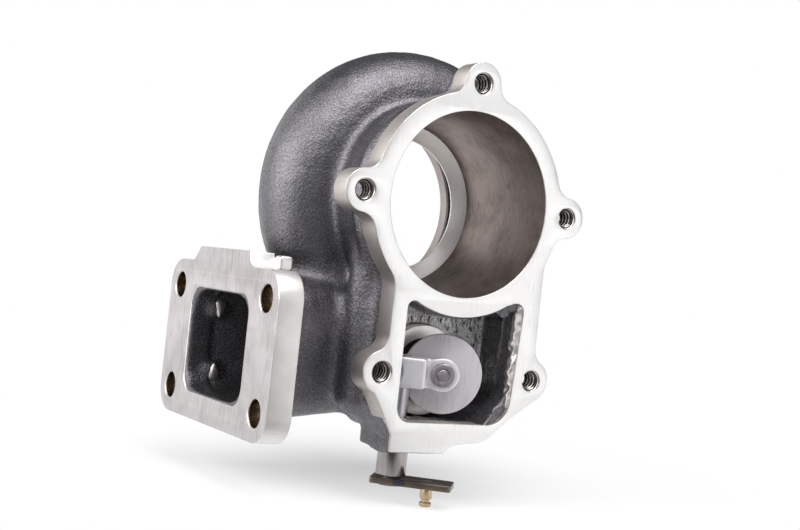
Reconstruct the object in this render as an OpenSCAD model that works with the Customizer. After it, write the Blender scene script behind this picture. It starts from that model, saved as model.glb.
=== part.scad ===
// Turbine housing with an internal wastegate.
// The origin is where the turbine axis meets the machined outlet face.
// The turbine axis runs along Y and the outlet face looks towards -Y.
// The gas comes in at the left (-X) and winds up the right side and over the top.

/* [Outlet flange] */
// Thickness of the machined outlet flange
flange_t = 10; // [8:0.5:14]
// Radius of the outlet bore
outlet_r = 36.5; // [34:0.5:38]
// Outer radius of the ring round the outlet bore
ring_r = 44; // [42:0.5:46]
// Radius of the lug round each tapped hole
lug_r = 8.3; // [7:0.1:9]
// Distance of the three upper tapped holes from the turbine axis
hole_reach = 47.7; // [46:0.1:50]
// Drop of the two lower tapped holes below the turbine axis
low_hole_drop = 67.4; // [64:0.2:69]
// Distance of the lower left tapped hole left of the turbine axis
low_left = 32.2; // [31.5:0.1:34]
// Distance of the lower right tapped hole right of the turbine axis
low_right = 38.2; // [37:0.1:40]
// Radius of the tapped holes at the thread's root
tap_r = 4; // [3:0.1:4.5]
// Depth of the countersink at the mouth of each tapped hole
tap_sink = 0.8; // [0.4:0.1:1.2]
// Radius of the fillets beside the lugs
lug_fillet = 7; // [5:0.5:9]

/* [Discharge duct] */
// Radius of the duct at its inner end
duct_end_r = 34.2; // [32:0.2:35]
// Depth at which the duct's taper ends
duct_end = 53.6; // [50:0.2:55]
// Radius of the exducer bore
exducer_r = 27.9; // [26:0.1:30]
// Depth at which the shoulder meets the exducer bore
exducer_y = 56.7; // [56:0.1:57.2]
// Outer radius of the duct's wall
duct_r = 41; // [39.5:0.5:42]

/* [Wastegate chamber] */
// Inside left wall of the chamber, left of the turbine axis
cavity_left = 23.8; // [23.5:0.1:25]
// Inside right wall of the chamber at the top
cavity_right = 31; // [29:0.5:32]
// Inside floor of the chamber, below the turbine axis
cavity_floor = 86; // [85:0.5:88]
// Depth of the chamber behind the outlet face
cavity_depth = 30; // [29:0.5:31]
// Upper left corner of the chamber's opening, below the turbine axis
cavity_top_left = 38.6; // [37.5:0.1:40]
// Upper right corner of the chamber's opening, below the turbine axis
cavity_top_right = 36.8; // [35:0.1:38]
// Radius of the arc over the chamber
cavity_arc = 44.2; // [43:0.2:46]
// Thickness of the chamber's back wall
back_wall = 2.5; // [2:0.5:4]
// Thickness of the chamber's left wall
left_wall = 6.7; // [5:0.1:7]
// Thickness of the chamber's right wall
right_wall = 7.8; // [6:0.2:8]
// Drop of the shaft boss's lower face below the turbine axis
boss_drop = 97.7; // [96:0.1:100]
// Depth of the shaft boss behind the outlet face
boss_depth = 22; // [20:0.5:26]

/* [Valve] */
// Radius of the valve disc
valve_r = 16; // [14:0.5:16.5]
// Thickness of the valve disc
valve_t = 4; // [3.5:0.1:5]
// Radius of the valve's stem
stem_r = 2.5; // [2:0.1:3]
// Radius of the washer on the end of the stem
washer_r = 5; // [4:0.1:6]
// Thickness of the washer on the end of the stem
washer_t = 3.4; // [2:0.1:4]
// Height of the valve's centre below the turbine axis
valve_drop = 67.7; // [66:0.1:69]
// Radius of the gas port behind the valve
port_r = 13; // [11:0.5:13.5]
// Radius of the seat boss
seat_r = 18.5; // [17:0.5:19]
// Gap between the closed valve and its seat
seat_gap = 0.15; // [0.1:0.05:0.3]
// Angle by which the valve stands open
open_angle = 30; // [10:1:35]

/* [Arm and shaft] */
// Shaft axis, left of the turbine axis
shaft_left = 15.1; // [14.8:0.1:16]
// Shaft axis, behind the outlet face
shaft_depth = 14; // [13.5:0.1:14.5]
// Radius of the shaft
shaft_r = 4; // [3:0.1:4.4]
// Distance from the shaft axis to the valve's axis
arm_reach = 16.4; // [16:0.1:17.5]
// Distance from the shaft axis to the front of the valve disc
arm_offset = 6.3; // [6:0.1:6.8]
// Height of the arm
arm_h = 12.3; // [11:0.1:13]
// Radius of the arm's hub
hub_r = 5.6; // [5:0.1:5.7]
// Reach of the arm's thick block beyond the shaft axis
block_reach = 9.6; // [8:0.1:10]
// Thickness of the eye round the stem
eye_t = 5; // [4:0.1:5.2]
// Radius of the eye round the stem
eye_r = 6.8; // [5.6:0.1:7]
// Play between the eye and what turns in it
eye_play = 0.25; // [0.2:0.05:0.4]
// Radial gap between the stem and the eye
stem_gap = 0.08; // [0.05:0.01:0.1]

/* [Bush and lever] */
// Outer radius of the shaft bush
bush_r = 6; // [5.5:0.1:6.3]
// Radial gap between the shaft and the bush
shaft_gap = 0.04; // [0.02:0.01:0.08]
// Radial gap between the bush and its bore in the casting
bush_gap = 0.02; // [0.01:0.01:0.03]
// Height by which the bush stands proud inside the chamber
bush_inside = 1.6; // [1:0.1:2.5]
// Length of the bush below the boss
bush_outside = 11; // [8:0.1:12]
// Gap between the bush and the lever
lever_gap = 0.5; // [0.2:0.1:1]
// Thickness of the lever
lever_t = 2.5; // [2:0.1:4]
// Width of the lever
lever_w = 14; // [13:0.5:16]
// Length of the lever
lever_l = 32; // [28:0.5:36]
// Distance of the lever's near end from the shaft axis
lever_heel = 7.2; // [7:0.1:9]
// Angle of the lever from +X, seen from above
lever_angle = -40; // [-60:1:-20]
// Distance of the rod pin from the shaft axis
pin_reach = 14.8; // [13:0.1:18]
// Radius of the rod pin
pin_r = 2.4; // [2:0.1:3]
// Length of the rod pin below the lever
pin_l = 7.6; // [6:0.1:10]
// Radius by which the pin is thinner where it is riveted into the lever
pin_step = 0.4; // [0.2:0.1:0.6]
// Height of the weld round the shaft's end
weld_h = 1.2; // [0.8:0.1:2]

/* [Scroll] */
// Depth of the scroll's middle behind the outlet face
scroll_y = 57.5; // [57:0.1:58]
// Outer radius of the scroll where it begins, at the bottom
scroll_start_r = 87.5; // [86:0.5:89]
// Outer radius of the scroll where it ends
scroll_end_r = 62.5; // [61.5:0.5:63.5]
// Radius of the scroll's tube where it begins
tube_start_r = 29; // [28:0.5:30]
// Radius of the scroll's tube where it ends
tube_end_r = 18.5; // [17.5:0.5:20]
// Thickness of the scroll's wall
scroll_wall = 5; // [4:0.5:6]
// Front of the nozzle slot behind the outlet face
nozzle_y = 59.5; // [59:0.1:60]
// Width of the nozzle slot
nozzle_w = 6; // [5:0.1:7]

/* [Inlet flange] */
// Distance of the inlet face from the turbine axis
inlet_x = 76; // [74:0.5:80]
// Thickness of the inlet flange
inlet_t = 10.5; // [9:0.5:12]
// Depth of the inlet's centre behind the outlet face
inlet_y = 58.4; // [58:0.1:59]
// Drop of the inlet's centre below the turbine axis
inlet_drop = 65.5; // [65:0.1:67]
// Width of the inlet flange, from front to back
inlet_w = 107; // [104:0.5:112]
// Height of the inlet flange without its raised tab
inlet_h = 65; // [64:0.5:70]
// Corner radius of the inlet flange
inlet_corner = 11; // [9:0.5:12]
// Height of the raised tab
tab_h = 6; // [4:0.5:8]
// Width of the raised tab
tab_w = 49; // [44:0.5:54]
// Spacing of the inlet's stud holes, from front to back
stud_w = 85.2; // [84:0.1:87]
// Spacing of the inlet's stud holes in height
stud_h = 42.9; // [42:0.1:44]
// Radius of the inlet's stud holes
stud_r = 5.5; // [5:0.1:6]
// Width of the gas port, from front to back
inlet_port_w = 57; // [54:0.5:58]
// Height of the gas port
inlet_port_h = 43.3; // [41:0.1:44]
// Corner radius of the gas port
inlet_port_corner = 7.5; // [5:0.5:9]
// Wall of the neck behind the inlet flange
neck_wall = 6; // [5:0.5:6.5]

/* [Bearing side] */
// Radius of the register bore
register_r = 37.1; // [36:0.1:38]
// Depth of the bearing side's face behind the outlet face
bearing_y = 80; // [79:0.5:82]
// Thickness of the bearing flange
bearing_t = 10; // [9:0.5:11]
// Outer radius of the bearing flange
bearing_r = 54; // [53:0.5:55]
// Number of tapped holes in the bearing flange
bearing_holes = 6; // [4:1:8]
// Length of the register bore
register_l = 5.6; // [5:0.1:6.5]
// Depth of the relief in front of the register bore, beyond its radius
relief_step = 1.5; // [1:0.1:2]

/* [Hidden] */

$fn = 96;
overshoot = 1;
arc_steps = 8;
ring_points = 24;
turn_step = 12;
neck_steps = 6;
// A hair by which fillet arcs cut past tangency, so that they cross cleanly
crossing = 0.03;
wall_fillet_r = lug_fillet + 3;
// The bearing flange's holes stand almost midway on its land
relief_r = register_r + relief_step;
bearing_circle = relief_r + 0.48 * (bearing_r - relief_r);

// Upper holes at the top, left and right of the ring, then the two lower ones
upper_holes = [[0, hole_reach], [-hole_reach, 0], [hole_reach, 0]];
lower_holes = [[-low_left, -low_hole_drop], [low_right, -low_hole_drop]];
outlet_holes = concat(upper_holes, lower_holes);

// Walls of the flange below the ring
wall_left = -(cavity_left + left_wall);
wall_right = cavity_right + right_wall;
chamber_end = cavity_depth + back_wall;

// The open valve hangs on an arm that is turned by open_angle about the shaft
shaft_at = [-shaft_left, shaft_depth];
seat_at = [-shaft_left + arm_reach, -valve_drop];
seat_y = shaft_depth + arm_offset + valve_t + seat_gap;
eye_back = -arm_offset + eye_play;
eye_front = eye_back + eye_t;
bush_top = -cavity_floor + bush_inside;
bush_bottom = -boss_drop - bush_outside;
lever_top = bush_bottom - lever_gap;
lever_bottom = lever_top - lever_t;
shaft_end = lever_bottom - weld_h / 2;

// The scroll's section as it turns: 0 at the bottom, 90 right, 180 top, 270 left
scroll_turn = 336;
passage_turn = 312;
spiral_power = 3.4;
tube_power = 1.3;
function left_of(turn) = 1 - turn / 360;
function outer_r(turn) = scroll_end_r + (scroll_start_r - scroll_end_r) * pow(left_of(turn), spiral_power);
function tube_r(turn) = tube_end_r + (tube_start_r - tube_end_r) * pow(left_of(turn), tube_power);
function power(v, p) = sign(v) * pow(abs(v), p);

// One closed ring round the scroll's tube at a turn, inset by a wall
function scroll_ring(turn, inset) =
  let (r = tube_r(turn) - inset, middle = outer_r(turn) - tube_r(turn))
  [for (i = [0:ring_points - 1])
    let (a = 360 * i / ring_points, out = middle + r * cos(a))
    [out * sin(turn), scroll_y + r * sin(a), -out * cos(turn)]];

// One closed ring of the neck, a share of the way from the inlet flange to the scroll
function neck_ring(share, inset) =
  let (w = (1 - share) * (inlet_port_w / 2 + neck_wall) + share * tube_start_r - inset,
       h = (1 - share) * (inlet_port_h / 2 + neck_wall) + share * tube_start_r - inset,
       squareness = 2 / (5 - 3 * share),
       y = (1 - share) * inlet_y + share * scroll_y,
       z = -(1 - share) * inlet_drop - share * (scroll_start_r - tube_start_r),
       x = (share - 1) * (inlet_x - inlet_t))
  [for (i = [0:ring_points - 1])
    let (a = 360 * i / ring_points)
    [x, y + w * power(sin(a), squareness), z - h * power(cos(a), squareness)]];

// A corner of an outline, rounded by an arc where its radius isn't 0
function corner(a, b, c, r) =
  r <= 0 ? [b] :
  let (u = (a - b) / norm(a - b),
       w = (c - b) / norm(c - b),
       half = acos(u * w) / 2,
       centre = b + (u + w) / norm(u + w) * r / sin(half),
       p = b + u * r / tan(half) - centre,
       q = b + w * r / tan(half) - centre,
       from = atan2(p[1], p[0]),
       sweep = (atan2(q[1], q[0]) - from + 540) % 360 - 180)
  [for (i = [0:arc_steps]) centre + r * [cos(from + sweep * i / arc_steps), sin(from + sweep * i / arc_steps)]];

// An outline from corners, each with its place and its radius
function rounded(corners) =
  let (n = len(corners))
  [for (i = [0:n - 1])
    let (a = corners[(i + n - 1) % n], b = corners[i], c = corners[(i + 1) % n])
    each corner([a[0], a[1]], [b[0], b[1]], [c[0], c[1]], b[2])];

// A flat shape in X and Z, made solid from one depth to another
module slab(from, to)
{
  translate([0, to, 0])
    rotate([90, 0, 0])
      linear_extrude(to - from)
        children();
}

// A round bar along Y
module bar(r, from, to)
{
  translate([0, to, 0])
    rotate([90, 0, 0])
      cylinder(r = r, h = to - from);
}

// A profile of radius and depth, turned about the turbine axis
module turned(profile)
{
  rotate([-90, 0, 0])
    rotate_extrude()
      polygon(profile);
}

// A flat shape in Y and Z, made solid along X
module plate_x(from, to)
{
  translate([from, 0, 0])
    rotate([90, 0, 90])
      linear_extrude(to - from)
        children();
}

// Centre of the fillet between the ring and a lug, on one side of the lug
function ring_fillet(lug, side) =
  let (reach = norm(lug),
       a = ring_r + lug_fillet,
       b = lug_r + lug_fillet,
       along = (a * a - b * b + reach * reach) / (2 * reach),
       across = side * sqrt(a * a - along * along),
       u = lug / reach)
  along * u + across * [-u[1], u[0]];

// Centre of the fillet between the ring and a straight wall below it
function wall_fillet(wall, side) =
  let (x = wall + side * wall_fillet_r)
  [x, -sqrt(pow(ring_r + wall_fillet_r, 2) - x * x)];

// Centre of the fillet above a lower lug, against a straight wall
function low_fillet(lug, wall, side) =
  let (x = wall + side * lug_fillet)
  [x, lug[1] + sqrt(pow(lug_r + lug_fillet, 2) - pow(x - lug[0], 2))];

// The outlet flange's blank: the ring, its lugs and the apron, with fillets cut between them
module flange_blank()
{
  lug_fillets = [for (hole = upper_holes, side = [-1, 1]) ring_fillet(hole, side)];
  left_low = low_fillet(lower_holes[0], wall_left, -1);
  right_low = low_fillet(lower_holes[1], wall_right, 1);
  wall_fillets = [wall_fillet(wall_left, -1), wall_fillet(wall_right, 1)];
  webs = [
    for (hole = upper_holes) [[0, 0], ring_fillet(hole, -1), hole, ring_fillet(hole, 1)],
    [[0, 0], wall_fillets[0], [wall_left + 1, wall_fillets[0][1]]],
    [[0, 0], wall_fillets[1], [wall_right - 1, wall_fillets[1][1]]],
    [[0, -low_hole_drop], lower_holes[0], left_low, [wall_left + 1, left_low[1]]],
    [[0, -low_hole_drop], lower_holes[1], right_low, [wall_right - 1, right_low[1]]]
  ];
  difference()
  {
    union()
    {
      bar(ring_r, 0, flange_t);
      slab(0, flange_t)
        apron();
      for (hole = outlet_holes)
        translate([hole[0], 0, hole[1]])
          bar(lug_r, 0, flange_t);
      for (web = webs)
        slab(0, flange_t)
          polygon(web);
    }
    for (centre = concat(lug_fillets, [left_low, right_low]))
      translate([centre[0], 0, centre[1]])
        bar(lug_fillet + crossing, -overshoot, flange_t + overshoot);
    for (centre = wall_fillets)
      translate([centre[0], 0, centre[1]])
        bar(wall_fillet_r + crossing, -overshoot, flange_t + overshoot);
  }
}

// The flange's part below the ring, round the chamber and down to the shaft boss
module apron()
{
  foot = [-cavity_left - 2, 1.5];
  polygon(rounded([
    [wall_left, -ring_r / 2, 0],
    [wall_right, -ring_r / 3, 0],
    [wall_right, -low_hole_drop - lug_r + 0.6, 0],
    [wall_right - 9, -cavity_floor + 3, 9],
    [cavity_right - 13, -cavity_floor - 7, 12],
    [foot[1] + 5, -boss_drop + 4, 6],
    [foot[1], -boss_drop, 1],
    [foot[0], -boss_drop, 1],
    [foot[0], -cavity_floor - 5, 3],
    [wall_left - 0.4, -cavity_floor + 1.5, 3],
    [wall_left - 1.4, -low_hole_drop - lug_r - 3.8, 2],
    [wall_left - 3, -low_hole_drop - lug_r + 0.6, 0]
  ]));
}

// The opening of the wastegate chamber
module cavity()
{
  difference()
  {
    polygon(rounded([
      [-cavity_left, -cavity_top_left, 3],
      [cavity_right, -cavity_top_right, 3.5],
      [cavity_right - 2.6, -cavity_floor, 10],
      [-cavity_left, -cavity_floor, 6]
    ]));
    circle(cavity_arc);
  }
}

// The bore in the boss that takes the shaft's bush
module bush_bore()
{
  translate([shaft_at[0], shaft_at[1], -boss_drop - overshoot])
    cylinder(r = bush_r + bush_gap, h = boss_drop - cavity_floor + 2 * overshoot);
}

// The tapped holes, each with its countersink
module tapped_hole(from, to)
{
  bar(tap_r, from - overshoot, to);
  translate([0, from + tap_sink, 0])
    rotate([90, 0, 0])
      cylinder(r1 = tap_r, r2 = tap_r + tap_sink + overshoot, h = tap_sink + overshoot);
}

module outlet_flange()
{
  color("gainsboro")
    difference()
    {
      flange_blank();
      slab(-overshoot, flange_t + overshoot)
        cavity();
      bar(outlet_r, -overshoot, flange_t + overshoot);
      for (hole = outlet_holes)
        translate([hole[0], 0, hole[1]])
          tapped_hole(0, flange_t + overshoot);
      bush_bore();
    }
}

module discharge_duct()
{
  color("silver")
    turned([
      [outlet_r, flange_t],
      [duct_r, flange_t],
      [duct_r, nozzle_y],
      [exducer_r + 6, nozzle_y],
      [exducer_r + 1, exducer_y + 1.2],
      [exducer_r, exducer_y + 0.6],
      [exducer_r, exducer_y],
      [duct_end_r, duct_end]
    ]);
}

// The chamber's outer form, down to the shaft boss
module chamber_form(inset)
{
  difference()
  {
    polygon(rounded([
      [wall_left - 1 + inset, -ring_r / 3, 0],
      [wall_right - 2 - inset, -ring_r / 3, 0],
      [wall_right - 4 - inset, -cavity_floor + 8, 8],
      [cavity_right - 12 - inset, -cavity_floor - 6.5 + inset, 10],
      [-cavity_left - 3 + inset, -cavity_floor - 6.5 + inset, 4],
      [wall_left - 1 + inset, -cavity_floor + 2, 6]
    ]));
    circle(duct_r);
  }
}

module wastegate_chamber()
{
  foot_left = -cavity_left - 3.5;
  color("dimgray")
    difference()
    {
      union()
      {
        slab(flange_t, chamber_end)
          chamber_form(0);
        slab(flange_t, boss_depth)
          translate([foot_left, -boss_drop])
            square([1 - foot_left, boss_drop - cavity_floor + overshoot]);
      }
      slab(flange_t - overshoot, cavity_depth)
        cavity();
      translate([seat_at[0], 0, seat_at[1]])
        bar(seat_r, seat_y, chamber_end + overshoot);
      bush_bore();
    }
}

module valve_seat()
{
  color("lightgray")
    translate([seat_at[0], 0, seat_at[1]])
      difference()
      {
        bar(seat_r, seat_y, chamber_end);
        bar(port_r, seat_y - overshoot, chamber_end + overshoot);
      }
}

// A stretch between two rings
module stretch(a, b)
{
  hull()
    polyhedron(points = concat(a, b), faces = [[for (i = [0:len(a) - 1]) i], [for (i = [0:len(b) - 1]) len(a) + i]]);
}

// The scroll and its neck as one body, inset by a wall and wound as far as a turn
module gas_body(inset, end_turn)
{
  for (turn = [0:turn_step:end_turn - turn_step])
    stretch(scroll_ring(turn, inset), scroll_ring(turn + turn_step, inset));
  neck_inset = inset * neck_wall / scroll_wall;
  for (i = [0:neck_steps - 1])
    stretch(neck_ring(i / neck_steps, neck_inset + (inset - neck_inset) * i / neck_steps),
            neck_ring((i + 1) / neck_steps, neck_inset + (inset - neck_inset) * (i + 1) / neck_steps));
}

module scroll_casing()
{
  fit_r = duct_r / cos(180 / $fn);
  disc_fit_r = bearing_r / cos(180 / $fn);
  color("dimgray")
    difference()
    {
      union()
      {
        gas_body(0, scroll_turn);
        hull()
        {
          slab(chamber_end, chamber_end + overshoot)
            chamber_form(0.5);
          slab(scroll_y - 6, scroll_y - 5)
            chamber_form(6);
        }
      }
      difference()
      {
        gas_body(scroll_wall, passage_turn);
        bar(bearing_r + 4, nozzle_y + nozzle_w, bearing_y + 2 * tube_start_r);
      }
      bar(fit_r, -overshoot, bearing_y - bearing_t);
      bar(disc_fit_r, bearing_y - bearing_t, bearing_y + 2 * tube_start_r);
      slab(-overshoot, chamber_end)
        chamber_form(0);
      translate([seat_at[0], 0, seat_at[1]])
        bar(port_r, chamber_end - overshoot, scroll_y);
    }
}

module inlet_flange()
{
  half_w = inlet_w / 2;
  half_h = inlet_h / 2;
  half_tab = tab_w / 2;
  color("gainsboro")
    translate([0, inlet_y, -inlet_drop])
      difference()
      {
        plate_x(-inlet_x, inlet_t - inlet_x)
          difference()
          {
            polygon(rounded([
              [-half_w, -half_h, inlet_corner],
              [half_w, -half_h, inlet_corner],
              [half_w, half_h, inlet_corner],
              [half_tab + tab_h, half_h, 0.8 * tab_h],
              [half_tab, half_h + tab_h, 0.5],
              [-half_tab, half_h + tab_h, 0.5],
              [-half_tab - tab_h / 3, half_h, 0.8 * tab_h],
              [-half_w, half_h, inlet_corner]
            ]));
            polygon(rounded([
              for (side = [[-1, -1], [1, -1], [1, 1], [-1, 1]])
                [side[0] * inlet_port_w / 2, side[1] * inlet_port_h / 2, inlet_port_corner]
            ]));
          }
        for (y = [-stud_w / 2, stud_w / 2], z = [-stud_h / 2, stud_h / 2])
          translate([-inlet_x - overshoot, y, z])
            rotate([0, 90, 0])
              cylinder(r = stud_r, h = inlet_t + 2 * overshoot);
      }
}

module bearing_flange()
{
  color("gainsboro")
    difference()
    {
      turned([
        [register_r, bearing_y - register_l],
        [relief_r, bearing_y - register_l],
        [relief_r, bearing_y - bearing_t],
        [bearing_r, bearing_y - bearing_t],
        [bearing_r, bearing_y],
        [register_r, bearing_y]
      ]);
      for (i = [0:bearing_holes - 1])
        rotate([0, 360 * i / bearing_holes, 0])
          translate([0, 0, bearing_circle])
            bar(tap_r, bearing_y - bearing_t - overshoot, bearing_y + overshoot);
    }
}

module shaft_bush()
{
  color("silver")
    translate([shaft_at[0], shaft_at[1], bush_bottom])
      difference()
      {
        cylinder(r = bush_r, h = bush_top - bush_bottom);
        translate([0, 0, -overshoot])
          cylinder(r = shaft_r + shaft_gap, h = bush_top - bush_bottom + 2 * overshoot);
      }
}

module wastegate_shaft()
{
  color("darkgray")
    translate([shaft_at[0], shaft_at[1], shaft_end])
      cylinder(r = shaft_r, h = -valve_drop + arm_h / 2 - shaft_end);
}

// What hangs on the shaft is drawn with the arm along +X and the valve towards +Y,
// and is then turned to where it stands open
module on_arm()
{
  translate([shaft_at[0], shaft_at[1], 0])
    rotate([0, 0, -open_angle])
      translate([0, 0, -valve_drop])
        children();
}

module swing_arm()
{
  color("darkgray")
    on_arm()
      difference()
      {
        union()
        {
          translate([0, 0, -arm_h / 2])
            cylinder(r = hub_r, h = arm_h);
          translate([0, -hub_r, -arm_h / 2])
            cube([block_reach, 2 * hub_r, arm_h]);
          translate([0, -eye_front, -arm_h / 2])
            cube([arm_reach, eye_t, arm_h]);
          translate([arm_reach, 0, 0])
            bar(eye_r, -eye_front, -eye_back);
        }
        translate([0, 0, -arm_h])
          cylinder(r = shaft_r, h = 2 * arm_h);
        translate([arm_reach, 0, 0])
          bar(stem_r + stem_gap, -eye_front - overshoot, -eye_back + overshoot);
      }
}

module crank_lever()
{
  color("saddlebrown")
    translate([shaft_at[0], shaft_at[1], lever_bottom])
      rotate([0, 0, lever_angle])
        difference()
        {
          linear_extrude(lever_t)
            polygon(rounded([
              [-lever_heel, -lever_w / 2, 1],
              [lever_l - lever_heel, -lever_w / 2, 1.5],
              [lever_l - lever_heel, lever_w / 2, 1.5],
              [-lever_heel, lever_w / 2, 1]
            ]));
          translate([0, 0, -overshoot])
            cylinder(r = shaft_r, h = lever_t + 2 * overshoot);
          translate([pin_reach, 0, -overshoot])
            cylinder(r = pin_r - pin_step, h = lever_t + 2 * overshoot);
        }
}

// The weld bead stands on the lever's underside, round the shaft's end
module lever_weld()
{
  color("slategray")
    translate([shaft_at[0], shaft_at[1], lever_bottom])
      rotate_extrude()
        polygon([[shaft_r, 0], [shaft_r + 2, 0], [shaft_r + 1.5, -weld_h / 2], [shaft_r, -weld_h / 2]]);
}

module rod_pin()
{
  groove_r = 0.68 * pin_r;
  collar_h = 0.22 * pin_l;
  color("darkkhaki")
    translate([shaft_at[0], shaft_at[1], lever_bottom])
      rotate([0, 0, lever_angle])
        translate([pin_reach, 0, 0])
          rotate_extrude()
            polygon([
              [0, lever_t],
              [pin_r - pin_step, lever_t],
              [pin_r - pin_step, 0],
              [pin_r, 0],
              [pin_r, 2 * collar_h - pin_l],
              [groove_r, 1.8 * collar_h - pin_l],
              [groove_r, 1.2 * collar_h - pin_l],
              [pin_r, collar_h - pin_l],
              [pin_r, 0.3 * collar_h - pin_l],
              [0.7 * pin_r, -pin_l],
              [0, -pin_l]
            ]);
}

module valve_disc()
{
  color("gray")
    on_arm()
      translate([arm_reach, 0, 0])
        rotate([-90, 0, 0])
          rotate_extrude()
            polygon([
              [0, arm_offset + valve_t],
              [valve_r - 0.6, arm_offset + valve_t],
              [valve_r, arm_offset + valve_t - 0.6],
              [valve_r, arm_offset + 0.6],
              [valve_r - 0.6, arm_offset],
              [stem_r, arm_offset],
              [stem_r, -eye_front - eye_play - washer_t],
              [0, -eye_front - eye_play - washer_t]
            ]);
}

module stem_washer()
{
  near = -eye_front - eye_play;
  color("dimgray")
    on_arm()
      translate([arm_reach, 0, 0])
        rotate([-90, 0, 0])
          rotate_extrude()
            polygon([
              [stem_r, near],
              [washer_r, near],
              [washer_r, near - washer_t + 0.5],
              [washer_r - 0.5, near - washer_t],
              [stem_r, near - washer_t]
            ]);
}

outlet_flange();
discharge_duct();
wastegate_chamber();
valve_seat();
scroll_casing();
inlet_flange();
bearing_flange();
shaft_bush();
wastegate_shaft();
swing_arm();
crank_lever();
lever_weld();
rod_pin();
valve_disc();
stem_washer();
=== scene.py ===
import math

import bmesh
import bpy
import numpy as np
from mathutils import Matrix, Vector


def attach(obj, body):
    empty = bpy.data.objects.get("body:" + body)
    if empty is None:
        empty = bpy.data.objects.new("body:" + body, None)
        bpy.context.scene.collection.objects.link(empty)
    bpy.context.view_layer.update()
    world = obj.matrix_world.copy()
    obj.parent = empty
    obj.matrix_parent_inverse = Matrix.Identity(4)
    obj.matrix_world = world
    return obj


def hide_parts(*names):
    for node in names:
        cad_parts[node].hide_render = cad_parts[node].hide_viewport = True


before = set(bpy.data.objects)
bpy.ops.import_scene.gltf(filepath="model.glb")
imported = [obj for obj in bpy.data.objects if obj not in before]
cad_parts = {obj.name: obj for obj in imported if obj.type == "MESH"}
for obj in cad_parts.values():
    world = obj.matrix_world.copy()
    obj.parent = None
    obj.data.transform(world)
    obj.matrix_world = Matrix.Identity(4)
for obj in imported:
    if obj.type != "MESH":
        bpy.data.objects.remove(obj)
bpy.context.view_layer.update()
mm = 0.001


def newObject(name, data):
    item = bpy.data.objects.new(name, data)
    bpy.context.scene.collection.objects.link(item)
    return item


# camera
# solved from the photograph: the outlet face, its holes and the inlet flange
cameraView = {
    "place": (-282.40, -417.39, -29.57),
    "right": (0.84995, -0.51593, 0.10677),
    "down": (0.09465, -0.04983, -0.99426),
    "forward": (0.51829, 0.85518, 0.00648),
    "lens": 58.02,
}


def makeCamera(view):
    data = bpy.data.cameras.new("photoCamera")
    data.lens = view["lens"]
    data.sensor_width = 36
    data.clip_start = 0.01
    camera = newObject("photoCamera", data)
    axes = Matrix((view["right"], [-v for v in view["down"]], [-v for v in view["forward"]])).transposed()
    camera.matrix_world = Matrix.Translation([v * mm for v in view["place"]]) @ axes.to_4x4()
    bpy.context.scene.camera = camera


makeCamera(cameraView)
bpy.context.scene.view_settings.view_transform = "Standard"
print("camera is set")


# helpers for materials
def toLinear(hexColour):
    # an sRGB channel v becomes ((v + 0.055) / 1.055) to the power 2.4, or v / 12.92 in the darkest part
    channels = [int(hexColour[i:i + 2], 16) / 255 for i in (1, 3, 5)]
    return [((v + 0.055) / 1.055) ** 2.4 if v > 0.04045 else v / 12.92 for v in channels] + [1.0]


def addNode(tree, kind, links=None, **settings):
    # a setting is a property of the node, or else the value of the input with that name, or with that
    # number after "in"; a link comes from a socket, or from the first output of a node
    node = tree.nodes.new("ShaderNode" + kind)
    for name, value in settings.items():
        if hasattr(node, name):
            setattr(node, name, value)
        else:
            key = int(name[2:]) if name.startswith("in") else name.replace("_", " ")
            node.inputs[key].default_value = value
    for key, source in (links or {}).items():
        isNode = isinstance(source, bpy.types.Node)
        tree.links.new(source.outputs[0] if isNode else source, node.inputs[key])
    return node


def newMaterial(name):
    material = bpy.data.materials.new(name)
    material.use_nodes = True
    material.node_tree.nodes.clear()
    return material, material.node_tree


def finishMaterial(material, shader):
    addNode(material.node_tree, "OutputMaterial", {"Surface": shader})
    return material


def colourRamp(tree, source, stops):
    ramp = addNode(tree, "ValToRGB", {"Fac": source})
    while len(ramp.color_ramp.elements) < len(stops):
        ramp.color_ramp.elements.new(0.5)
    for element, (place, colour) in zip(ramp.color_ramp.elements, stops):
        element.position = place
        element.color = toLinear(colour)
    return ramp


def perMm(size):
    # a noise whose bumps are about this many millimetres across, on Object coordinates in metres
    return 1 / (size * mm)


# where the streaks are: axis, the place in mm at which they begin and the one at which they are full
streakZone = [(0, -24.3, -23.8), (0, 32.8, 31.8), (1, 10, 14), (1, 31, 30.4),
              (2, -75, -68), (2, -37.6, -38.5)]


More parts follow.
